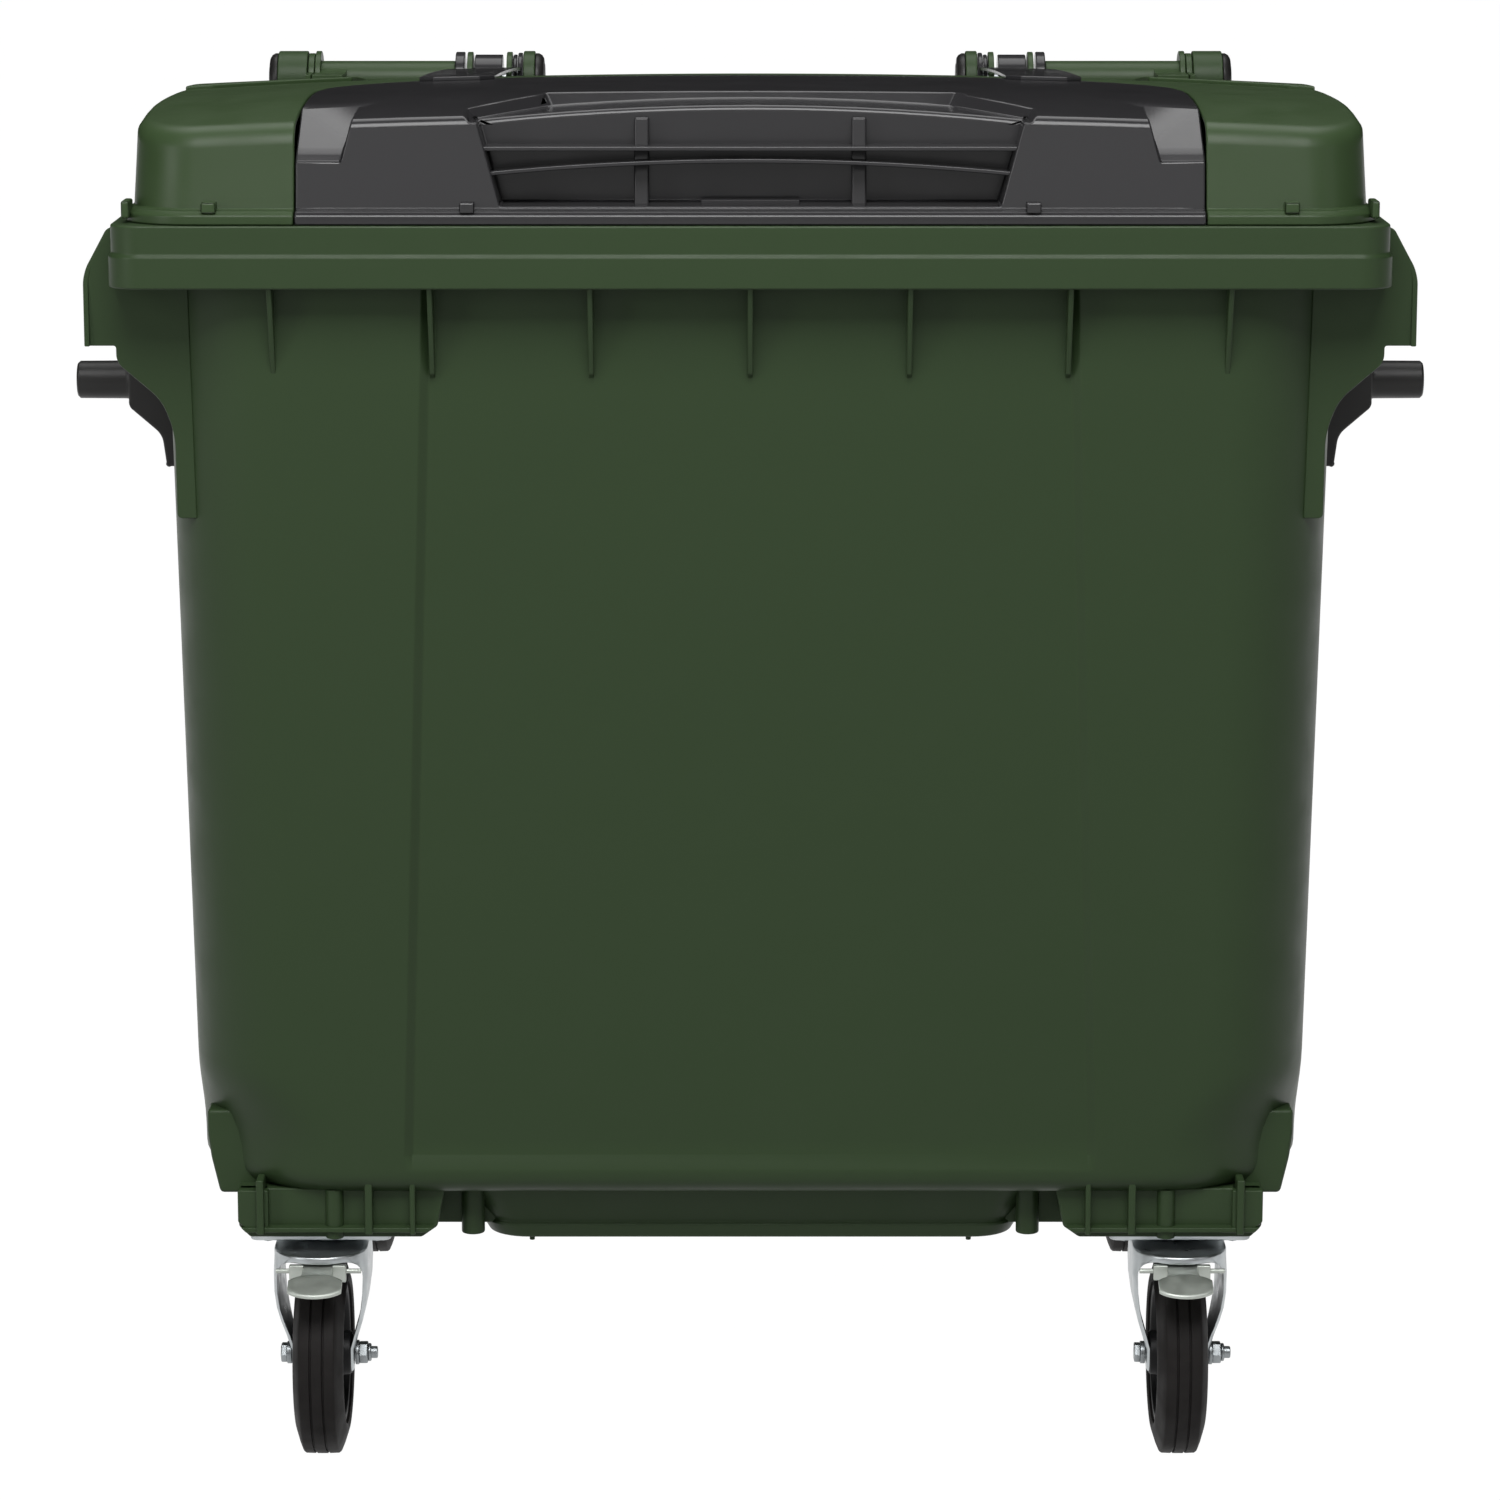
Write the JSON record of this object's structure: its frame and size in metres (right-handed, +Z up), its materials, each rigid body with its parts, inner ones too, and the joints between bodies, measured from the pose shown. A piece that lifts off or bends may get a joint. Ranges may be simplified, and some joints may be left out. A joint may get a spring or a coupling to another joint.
{
  "type": "wheeled waste container",
  "caption": "Wheeled waste container with a hinged lid, a smaller lid set into it, side lifting pins and swivel castors.",
  "frame": {"origin": "on the ground, under the middle of the whole container's box", "axes": "+X to the right of someone who faces the front, +Y from the front to the hinges at the back, +Z up"},
  "size_m": [1.381, 1.077, 1.349],
  "materials": {
    "green_plastic": "dark green moulded polyethylene, satin with a fine grain",
    "lid_green_plastic": "dark green moulded polyethylene, satin",
    "grey_plastic": "dark grey moulded polyethylene, half gloss",
    "black_plastic": "black moulded plastic, satin",
    "hub_plastic": "black moulded wheel centre",
    "zinc_steel": "zinc plated pressed steel, slightly blue grey",
    "dark_rubber": "solid dark rubber, nearly black, matte"
  },
  "bodies": {
    "container": {"container_body": "green_plastic", "trunnion_left": "black_plastic", "trunnion_right": "black_plastic", "hinge_shaft_left": "zinc_steel", "hinge_shaft_right": "zinc_steel", "hinge_cap_left_outer": "black_plastic", "hinge_cap_left_inner": "black_plastic", "hinge_cap_right_outer": "black_plastic", "hinge_cap_right_inner": "black_plastic", "castor_plate_front_left": "zinc_steel", "kingpin_front_left": "zinc_steel", "plate_bolt_front_left_1": "zinc_steel", "plate_bolt_front_left_2": "zinc_steel", "plate_bolt_front_left_3": "zinc_steel", "plate_bolt_front_left_4": "zinc_steel", "castor_plate_front_right": "zinc_steel", "kingpin_front_right": "zinc_steel", "plate_bolt_front_right_1": "zinc_steel", "plate_bolt_front_right_2": "zinc_steel", "plate_bolt_front_right_3": "zinc_steel", "plate_bolt_front_right_4": "zinc_steel", "castor_plate_back_left": "zinc_steel", "kingpin_back_left": "zinc_steel", "plate_bolt_back_left_1": "zinc_steel", "plate_bolt_back_left_2": "zinc_steel", "plate_bolt_back_left_3": "zinc_steel", "plate_bolt_back_left_4": "zinc_steel", "castor_plate_back_right": "zinc_steel", "kingpin_back_right": "zinc_steel", "plate_bolt_back_right_1": "zinc_steel", "plate_bolt_back_right_2": "zinc_steel", "plate_bolt_back_right_3": "zinc_steel", "plate_bolt_back_right_4": "zinc_steel"},
    "main_lid": {"main_lid": "lid_green_plastic"},
    "small_lid": {"small_lid": "grey_plastic"},
    "drain_plug": {"drain_plug": "black_plastic"},
    "swivel_front_left": {"castor_fork_front_left": "zinc_steel", "axle_bolt_front_left": "zinc_steel", "axle_nut_front_left": "zinc_steel"},
    "wheel_front_left": {"tyre_front_left": "dark_rubber", "wheel_hub_front_left": "hub_plastic"},
    "pedal_front_left": {"brake_pedal_front_left": "zinc_steel"},
    "swivel_front_right": {"castor_fork_front_right": "zinc_steel", "axle_bolt_front_right": "zinc_steel", "axle_nut_front_right": "zinc_steel"},
    "wheel_front_right": {"tyre_front_right": "dark_rubber", "wheel_hub_front_right": "hub_plastic"},
    "pedal_front_right": {"brake_pedal_front_right": "zinc_steel"},
    "swivel_back_left": {"castor_fork_back_left": "zinc_steel", "axle_bolt_back_left": "zinc_steel", "axle_nut_back_left": "zinc_steel"},
    "wheel_back_left": {"tyre_back_left": "dark_rubber", "wheel_hub_back_left": "hub_plastic"},
    "swivel_back_right": {"castor_fork_back_right": "zinc_steel", "axle_bolt_back_right": "zinc_steel", "axle_nut_back_right": "zinc_steel"},
    "wheel_back_right": {"tyre_back_right": "dark_rubber", "wheel_hub_back_right": "hub_plastic"}
  },
  "joints": [
    {"name": "main_lid_hinge", "type": "hinge", "parent": "container", "child": "main_lid", "pos_m": [0, 0.50689, 1.3022], "axis": [-1, 0, 0], "range_deg": [0, 180]},
    {"name": "small_lid_hinge", "type": "hinge", "parent": "main_lid", "child": "small_lid", "pos_m": [0, 0.50689, 1.3022], "axis": [-1, 0, 0], "range_deg": [0, 85]},
    {"name": "drain_plug_turn", "type": "hinge", "parent": "container", "child": "drain_plug", "pos_m": [0, -0.038, 0.2], "axis": [0, 0, -1], "range_deg": [0, 90]},
    {"name": "swivel_front_left", "type": "hinge", "parent": "container", "child": "swivel_front_left", "pos_m": [-0.4245, -0.35, 0.2], "axis": [0, 0, 1], "continuous": true},
    {"name": "wheel_front_left", "type": "hinge", "parent": "swivel_front_left", "child": "wheel_front_left", "pos_m": [-0.4245, -0.388, 0.1], "axis": [1, 0, 0], "continuous": true},
    {"name": "brake_pedal_front_left", "type": "hinge", "parent": "swivel_front_left", "child": "pedal_front_left", "pos_m": [-0.4245, -0.438, 0.199], "axis": [1, 0, 0], "range_deg": [0, 8]},
    {"name": "swivel_front_right", "type": "hinge", "parent": "container", "child": "swivel_front_right", "pos_m": [0.4245, -0.35, 0.2], "axis": [0, 0, 1], "continuous": true},
    {"name": "wheel_front_right", "type": "hinge", "parent": "swivel_front_right", "child": "wheel_front_right", "pos_m": [0.4245, -0.388, 0.1], "axis": [1, 0, 0], "continuous": true},
    {"name": "brake_pedal_front_right", "type": "hinge", "parent": "swivel_front_right", "child": "pedal_front_right", "pos_m": [0.4245, -0.438, 0.199], "axis": [1, 0, 0], "range_deg": [0, 8]},
    {"name": "swivel_back_left", "type": "hinge", "parent": "container", "child": "swivel_back_left", "pos_m": [-0.4245, 0.274, 0.2], "axis": [0, 0, 1], "continuous": true},
    {"name": "wheel_back_left", "type": "hinge", "parent": "swivel_back_left", "child": "wheel_back_left", "pos_m": [-0.4245, 0.312, 0.1], "axis": [1, 0, 0], "continuous": true},
    {"name": "swivel_back_right", "type": "hinge", "parent": "container", "child": "swivel_back_right", "pos_m": [0.4245, 0.274, 0.2], "axis": [0, 0, 1], "continuous": true},
    {"name": "wheel_back_right", "type": "hinge", "parent": "swivel_back_right", "child": "wheel_back_right", "pos_m": [0.4245, 0.312, 0.1], "axis": [1, 0, 0], "continuous": true}
  ]
}
